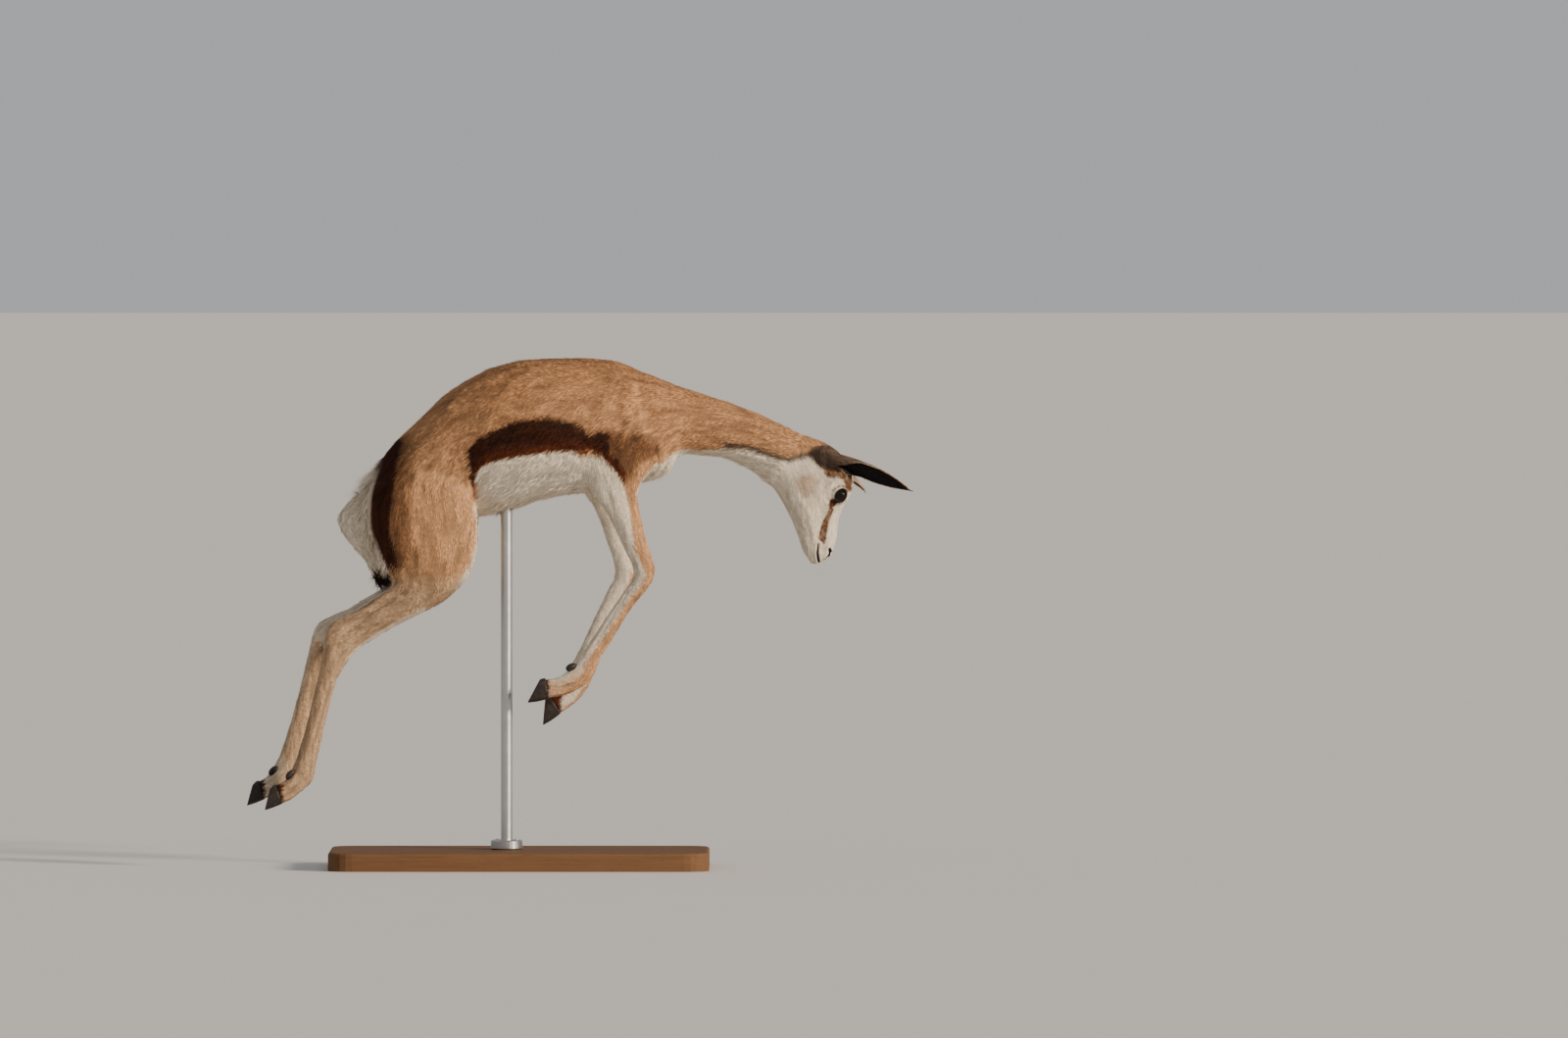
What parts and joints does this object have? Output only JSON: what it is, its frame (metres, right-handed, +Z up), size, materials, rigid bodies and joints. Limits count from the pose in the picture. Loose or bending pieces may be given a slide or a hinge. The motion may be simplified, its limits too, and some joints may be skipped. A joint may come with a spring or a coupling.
{
  "type": "springbok",
  "caption": "Life-size still model of a young springbok in a pronking leap, back arched and legs hanging, held over a flat base by one rod.",
  "frame": {"origin": "centre of the underside of the stand's base", "axes": "+X towards the head, +Y the animal's left, +Z up"},
  "size_m": [1.0889, 0.32, 0.8326],
  "materials": {
    "coat": "short sleek tan fur",
    "face": "very short cream fur",
    "rump": "white fur, dark tip",
    "ear": "thin dark skin with a fine fur edge",
    "eye": "wet dark eye",
    "horn": "dark horn, faintly polished",
    "base_wood": "dark satin wood",
    "rod_steel": "brushed"
  },
  "bodies": {
    "root": {"torso": "coat", "neck": "coat", "head": "face", "tail": "rump", "ear_left": "ear", "eye_left": "eye", "ear_right": "ear", "eye_right": "eye", "leg_hind_left_upper": "coat", "leg_hind_left_shank": "coat", "leg_hind_left_cannon": "coat", "leg_hind_left_foot": "coat", "leg_hind_left_claw_a": "horn", "leg_hind_left_claw_b": "horn", "leg_hind_left_dewclaw_a": "horn", "leg_hind_left_dewclaw_b": "horn", "leg_hind_right_upper": "coat", "leg_hind_right_shank": "coat", "leg_hind_right_cannon": "coat", "leg_hind_right_foot": "coat", "leg_hind_right_claw_a": "horn", "leg_hind_right_claw_b": "horn", "leg_hind_right_dewclaw_a": "horn", "leg_hind_right_dewclaw_b": "horn", "leg_fore_left_upper": "coat", "leg_fore_left_forearm": "coat", "leg_fore_left_cannon": "coat", "leg_fore_left_foot": "coat", "leg_fore_left_claw_a": "horn", "leg_fore_left_claw_b": "horn", "leg_fore_left_dewclaw_a": "horn", "leg_fore_left_dewclaw_b": "horn", "leg_fore_right_upper": "coat", "leg_fore_right_forearm": "coat", "leg_fore_right_cannon": "coat", "leg_fore_right_foot": "coat", "leg_fore_right_claw_a": "horn", "leg_fore_right_claw_b": "horn", "leg_fore_right_dewclaw_a": "horn", "leg_fore_right_dewclaw_b": "horn", "stand_base": "base_wood", "stand_rod": "rod_steel", "stand_collar": "rod_steel"}
  },
  "joints": []
}
